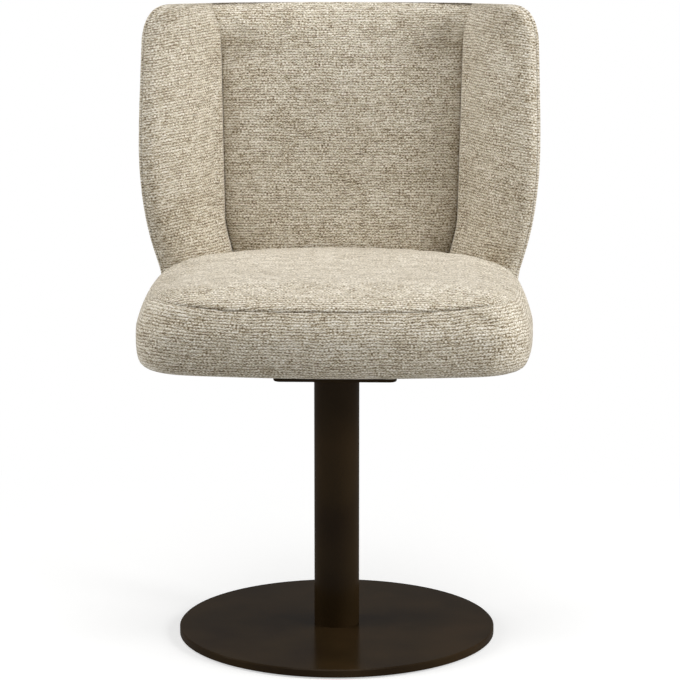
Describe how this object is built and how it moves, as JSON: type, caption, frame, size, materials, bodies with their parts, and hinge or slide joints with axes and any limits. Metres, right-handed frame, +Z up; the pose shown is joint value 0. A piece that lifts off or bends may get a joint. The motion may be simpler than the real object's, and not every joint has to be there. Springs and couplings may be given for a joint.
{
  "type": "swivel dining chair",
  "caption": "Upholstered swivel dining chair with a wrap-around winged back, on a round dark bronze column and flat round base.",
  "frame": {"origin": "on the floor under the column's axis, which is the swivel axis", "axes": "+Z up; the chair faces -Y; +X is to the right as seen from in front"},
  "size_m": [0.5388, 0.5314, 0.832],
  "materials": {
    "woven_fabric": "matte",
    "foam": "matte",
    "black_lining": "matte",
    "felt": "matte",
    "bronze_paint": "satin",
    "steel": "satin",
    "zinc_steel": "satin",
    "bearing_steel": "polished",
    "cage_brass": "satin",
    "bush_plastic": "matte",
    "plywood": "matte"
  },
  "bodies": {
    "base": {"floor_pad": "felt", "base_plate": "bronze_paint", "foot_screws": "zinc_steel", "foot_plug": "steel", "column_tube": "bronze_paint", "bearing_housing": "steel", "upper_bush": "bush_plastic", "lower_bush": "bush_plastic", "lower_race": "bearing_steel"},
    "bearing_cage": {"ball_cage": "cage_brass", "bearing_balls": "bearing_steel"},
    "seat": {"upper_race": "bearing_steel", "spindle": "steel", "spindle_hub": "steel", "retaining_washer": "steel", "retaining_ring": "steel", "swivel_plate": "bronze_paint", "plate_screws": "zinc_steel", "plate_washers": "zinc_steel", "tee_nuts": "zinc_steel", "seat_board": "plywood", "dust_cover": "black_lining", "seat_foam": "foam", "seat_top_cover": "woven_fabric", "seat_side_cover": "woven_fabric", "back_frame": "plywood", "bracket_left": "zinc_steel", "bracket_right": "zinc_steel", "bracket_screws": "zinc_steel", "back_bolts": "zinc_steel", "back_nuts": "zinc_steel", "back_foam": "foam", "wing_foam_left": "foam", "wing_foam_right": "foam", "back_padding": "foam", "inner_back_cover": "woven_fabric", "wing_cover_left": "woven_fabric", "wing_cover_right": "woven_fabric", "outer_back_cover": "woven_fabric"}
  },
  "joints": [
    {"name": "seat_swivel", "type": "hinge", "parent": "base", "child": "seat", "pos_m": [0, 0, 0.377], "axis": [0, 0, 1], "continuous": true},
    {"name": "cage_roll", "type": "hinge", "parent": "base", "child": "bearing_cage", "pos_m": [0, 0, 0.3715], "axis": [0, 0, 1], "continuous": true}
  ],
  "couplings": [
    {"joint": "cage_roll", "follows": "seat_swivel", "ratio": 0.5}
  ]
}
